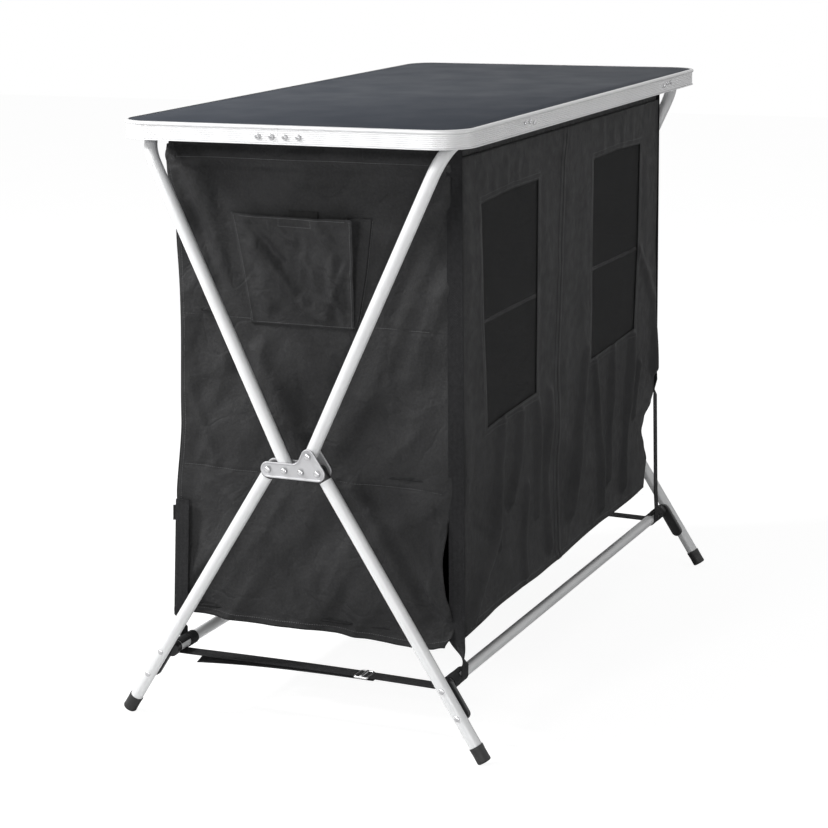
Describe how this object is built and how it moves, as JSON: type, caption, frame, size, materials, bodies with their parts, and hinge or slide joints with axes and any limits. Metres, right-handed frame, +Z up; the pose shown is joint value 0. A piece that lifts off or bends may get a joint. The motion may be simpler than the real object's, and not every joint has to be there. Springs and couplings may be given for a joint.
{
  "type": "folding camping cupboard",
  "caption": "Folding camping cupboard: a rail-edged table top on crossed tube legs with a dark cloth cabinet hung between them, two cloth doors with mesh windows.",
  "frame": {"origin": "on the floor under the middle of the table top", "axes": "+X along the long side towards the far end, -Y towards the two cloth doors, +Z up"},
  "size_m": [1.0508, 0.5584, 0.846],
  "materials": {
    "top_laminate": "dark blue-grey satin laminate on a thin fibreboard core",
    "edge_alloy": "satin extruded alloy with fine ribs",
    "tube_enamel": "light silver-grey satin enamel",
    "bracket_steel": "silver-grey satin enamel on pressed steel",
    "rivet_alloy": "bright alloy",
    "buckle_steel": "bright wire and sheet steel",
    "black_plastic": "black satin plastic",
    "foot_rubber": "black rubbery plastic",
    "cabinet_cloth": "charcoal coated polyester",
    "shelf_cloth": "black stiffened polyester",
    "strap_webbing": "black herringbone webbing"
  },
  "bodies": {
    "front_frame": {"front_top_tube": "tube_enamel", "bracket_outer_near": "bracket_steel", "bracket_inner_near": "bracket_steel", "bracket_outer_far": "bracket_steel", "bracket_inner_far": "bracket_steel", "rivet_rear_top_near": "rivet_alloy", "rivet_rear_top_far": "rivet_alloy", "header_front": "cabinet_cloth", "header_rear": "cabinet_cloth", "wall_rear": "cabinet_cloth", "wall_near": "cabinet_cloth", "wall_far": "cabinet_cloth", "shelf_lower_near": "shelf_cloth", "shelf_lower_far": "shelf_cloth", "shelf_upper_near": "shelf_cloth", "shelf_upper_far": "shelf_cloth", "cabinet_floor": "shelf_cloth", "divider": "shelf_cloth", "pocket": "cabinet_cloth", "corner_tape_front_near": "strap_webbing", "corner_tape_rear_near": "strap_webbing", "corner_tape_front_far": "strap_webbing", "corner_tape_rear_far": "strap_webbing", "spreader_strap_near": "strap_webbing", "spreader_strap_far": "strap_webbing", "strap_buckle_near": "buckle_steel", "strap_buckle_far": "buckle_steel", "rivet_rear_leg_near": "rivet_alloy", "rivet_rear_leg_far": "rivet_alloy"},
    "rear_frame": {"rear_top_tube": "tube_enamel"},
    "front_feet": {"leg_front_near": "tube_enamel", "leg_front_far": "tube_enamel", "knuckle_front_near": "black_plastic", "knuckle_front_far": "black_plastic", "foot_cap_front_near": "foot_rubber", "foot_cap_front_far": "foot_rubber", "corner_fitting_front_near": "black_plastic", "corner_fitting_front_far": "black_plastic", "cross_tube_front": "tube_enamel"},
    "rear_feet": {"leg_rear_near": "tube_enamel", "leg_rear_far": "tube_enamel", "knuckle_rear_near": "black_plastic", "knuckle_rear_far": "black_plastic", "foot_cap_rear_near": "foot_rubber", "foot_cap_rear_far": "foot_rubber", "corner_fitting_rear_near": "black_plastic", "corner_fitting_rear_far": "black_plastic", "cross_tube_rear": "tube_enamel"},
    "table_top": {"table_board": "top_laminate", "edge_rail_front": "edge_alloy", "edge_rail_rear": "edge_alloy", "tube_clip_front_near": "black_plastic", "tube_clip_front_far": "black_plastic", "tube_clip_rear_near": "black_plastic", "tube_clip_rear_far": "black_plastic", "splice_plate_near": "rivet_alloy", "splice_plate_far": "rivet_alloy"},
    "door_leaf_near": {"door_near": "cabinet_cloth"},
    "door_leaf_far": {"door_far": "cabinet_cloth"}
  },
  "joints": [
    {"name": "frame_fold", "type": "hinge", "parent": "front_frame", "child": "rear_frame", "pos_m": [0, 0.0123, 0.3778], "axis": [1, 0, 0], "range_deg": [0, 49], "deforming": ["header_front", "header_rear", "wall_rear", "wall_near", "wall_far", "shelf_lower_near", "shelf_lower_far", "shelf_upper_near", "shelf_upper_far", "cabinet_floor", "divider", "pocket", "door_near", "door_far", "corner_tape_front_near", "corner_tape_front_far", "corner_tape_rear_near", "corner_tape_rear_far", "spreader_strap_near", "spreader_strap_far", "strap_buckle_near", "strap_buckle_far"]},
    {"name": "rear_feet_fold", "type": "hinge", "parent": "front_frame", "child": "rear_feet", "pos_m": [0, 0.0369, 0.3778], "axis": [1, 0, 0], "range_deg": [0, 170]},
    {"name": "front_feet_fold", "type": "hinge", "parent": "front_frame", "child": "front_feet", "pos_m": [0, -0.0369, 0.3778], "axis": [-1, 0, 0], "range_deg": [0, 121]},
    {"name": "top_lift", "type": "slide", "parent": "front_frame", "child": "table_top", "axis": [0, 0, 1], "range_m": [0, 0.22]},
    {"name": "door_near_lift", "type": "hinge", "parent": "front_frame", "child": "door_leaf_near", "pos_m": [-0.24, -0.214, 0.801], "axis": [-1, 0, 0], "range_deg": [0, 85]},
    {"name": "door_far_lift", "type": "hinge", "parent": "front_frame", "child": "door_leaf_far", "pos_m": [0.18, -0.214, 0.801], "axis": [-1, 0, 0], "range_deg": [0, 85]}
  ],
  "couplings": [
    {"joint": "rear_feet_fold", "follows": "frame_fold", "ratio": 3.44},
    {"joint": "front_feet_fold", "follows": "frame_fold", "ratio": 2.44},
    {"joint": "top_lift", "follows": "frame_fold", "m_per_rad": 0.25}
  ]
}
